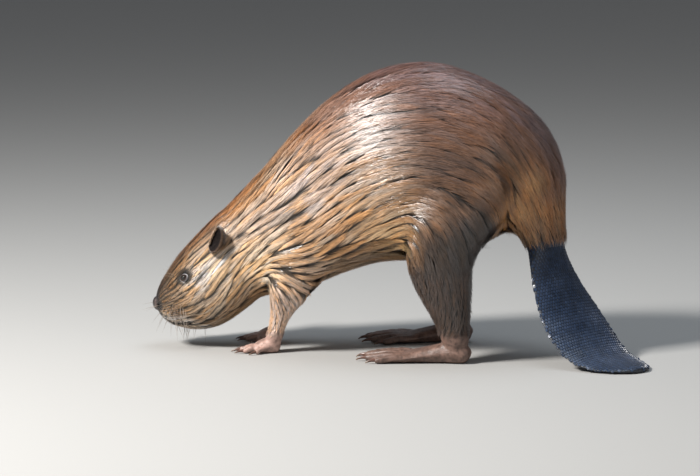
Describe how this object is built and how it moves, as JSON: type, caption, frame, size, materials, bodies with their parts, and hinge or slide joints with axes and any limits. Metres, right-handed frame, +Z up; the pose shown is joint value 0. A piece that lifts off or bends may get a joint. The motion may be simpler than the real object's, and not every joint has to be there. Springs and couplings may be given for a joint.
{
  "type": "beaver",
  "caption": "Life-size North American beaver, standing with head low, back arched and flat scaly tail trailing to the ground.",
  "frame": {"origin": "on the ground, in the middle of the animal's box", "axes": "+Z up; the head points towards -X and the tail towards +X; the animal's left side faces -Y"},
  "size_m": [0.7836, 0.3032, 0.4528],
  "materials": {
    "coat": "wet fur combed into locks, satin",
    "foot_skin": "bare damp skin, satin",
    "tail_leather": "wet scaly skin, glossy",
    "claw_horn": "horn, satin",
    "nose_leather": "bare damp skin",
    "eye": "wet, high gloss"
  },
  "bodies": {
    "root": {"head": "coat", "neck": "coat", "chest": "coat", "loins": "coat", "rump": "coat", "tail_root": "coat", "nose": "nose_leather", "tail_near": "tail_leather", "tail_middle": "tail_leather", "tail_tip": "tail_leather", "eye_left": "eye", "ear_left": "coat", "upper_arm_left": "coat", "forearm_left": "coat", "thigh_left": "coat", "shank_left": "coat", "forefoot_left": "foot_skin", "hindfoot_left": "foot_skin", "foreclaw_left_1": "claw_horn", "foreclaw_left_2": "claw_horn", "foreclaw_left_3": "claw_horn", "foreclaw_left_4": "claw_horn", "foreclaw_left_5": "claw_horn", "hindclaw_left_1": "claw_horn", "hindclaw_left_2": "claw_horn", "hindclaw_left_3": "claw_horn", "hindclaw_left_4": "claw_horn", "hindclaw_left_5": "claw_horn", "eye_right": "eye", "ear_right": "coat", "upper_arm_right": "coat", "forearm_right": "coat", "thigh_right": "coat", "shank_right": "coat", "forefoot_right": "foot_skin", "hindfoot_right": "foot_skin", "foreclaw_right_1": "claw_horn", "foreclaw_right_2": "claw_horn", "foreclaw_right_3": "claw_horn", "foreclaw_right_4": "claw_horn", "foreclaw_right_5": "claw_horn", "hindclaw_right_1": "claw_horn", "hindclaw_right_2": "claw_horn", "hindclaw_right_3": "claw_horn", "hindclaw_right_4": "claw_horn", "hindclaw_right_5": "claw_horn"}
  },
  "joints": []
}
